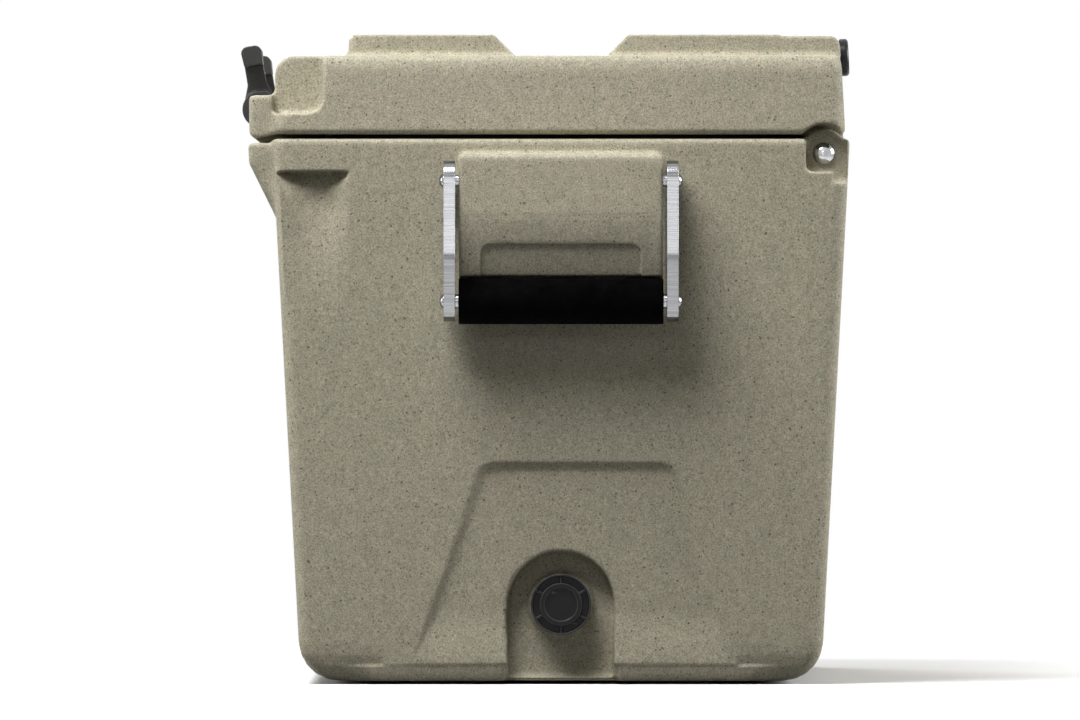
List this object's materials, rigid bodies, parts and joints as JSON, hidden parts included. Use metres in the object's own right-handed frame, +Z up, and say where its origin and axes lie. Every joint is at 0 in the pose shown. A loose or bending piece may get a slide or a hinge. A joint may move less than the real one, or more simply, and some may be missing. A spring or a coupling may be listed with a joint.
{
  "type": "cooler chest",
  "caption": "Rotomoulded insulated cooler chest with a rear-hinged foam-filled lid, flip-down rubber latches, swinging aluminium side handles and a screw-capped drain.",
  "frame": {"origin": "on the floor, under the middle of the whole outline", "axes": "+X along the length towards the drain end, +Y from the latches towards the hinge, +Z up"},
  "size_m": [0.8016, 0.4562, 0.4838],
  "materials": {
    "speckled_plastic": "fine orange-peel, speckled",
    "foam": "closed-cell foam",
    "black_rubber": "satin",
    "black_plastic": "satin",
    "grip_rubber": "matt",
    "aluminium": "brushed",
    "steel": "polished",
    "brass": "turned",
    "seal_rubber": "matt"
  },
  "bodies": {
    "tub": {"tub_shell": "speckled_plastic", "tub_foam": "foam", "tub_fill_plug": "black_plastic", "rubber_feet": "black_rubber", "foot_screws": "steel", "drain_fitting": "black_plastic", "drain_gasket": "seal_rubber", "drain_nut": "black_plastic", "hinge_rod": "steel", "hinge_caps": "steel", "pivot_inserts": "brass", "pivot_bushes": "steel", "pivot_screws": "steel"},
    "lid": {"lid_shell": "speckled_plastic", "lid_foam": "foam", "lid_fill_plug": "black_plastic", "lid_gasket": "seal_rubber", "rear_bumpers": "black_rubber", "latch_pins": "steel"},
    "latch_right": {"latch_right": "black_rubber"},
    "latch_left": {"latch_left": "black_rubber"},
    "handle_right": {"right_arm_front": "aluminium", "right_arm_rear": "aluminium", "right_grip_core": "aluminium", "right_grip_sleeve": "grip_rubber", "right_grip_spacers": "steel", "right_grip_screws": "steel"},
    "handle_left": {"left_arm_front": "aluminium", "left_arm_rear": "aluminium", "left_grip_core": "aluminium", "left_grip_sleeve": "grip_rubber", "left_grip_spacers": "steel", "left_grip_screws": "steel"},
    "drain_seal": {"drain_seal": "seal_rubber"},
    "drain_cap": {"drain_cap": "black_plastic"}
  },
  "joints": [
    {"name": "lid_hinge", "type": "hinge", "parent": "tub", "child": "lid", "pos_m": [0, 0.20757, 0.395], "axis": [-1, 0, 0], "range_deg": [0, 100]},
    {"name": "latch_right_flip", "type": "hinge", "parent": "lid", "child": "latch_right", "pos_m": [0.2, -0.21333, 0.43], "axis": [1, 0, 0], "range_deg": [0, 170]},
    {"name": "latch_left_flip", "type": "hinge", "parent": "lid", "child": "latch_left", "pos_m": [-0.2, -0.21333, 0.43], "axis": [1, 0, 0], "range_deg": [0, 170]},
    {"name": "handle_right_swing", "type": "hinge", "parent": "tub", "child": "handle_right", "pos_m": [0.37585, 0.01207, 0.3745], "axis": [0, -1, 0], "range_deg": [0, 95]},
    {"name": "handle_left_swing", "type": "hinge", "parent": "tub", "child": "handle_left", "pos_m": [-0.37585, 0.01207, 0.3745], "axis": [0, 1, 0], "range_deg": [0, 95]},
    {"name": "drain_seal_slide", "type": "slide", "parent": "tub", "child": "drain_seal", "axis": [1, 0, 0], "range_m": [0, 0.00901]},
    {"name": "drain_cap_turn", "type": "hinge", "parent": "drain_seal", "child": "drain_cap", "pos_m": [0.33084, 0.01207, 0.0595], "axis": [1, 0, 0], "range_deg": [0, 1080]}
  ],
  "couplings": [
    {"joint": "drain_seal_slide", "follows": "drain_cap_turn", "m_per_rad": 0.00047746}
  ]
}
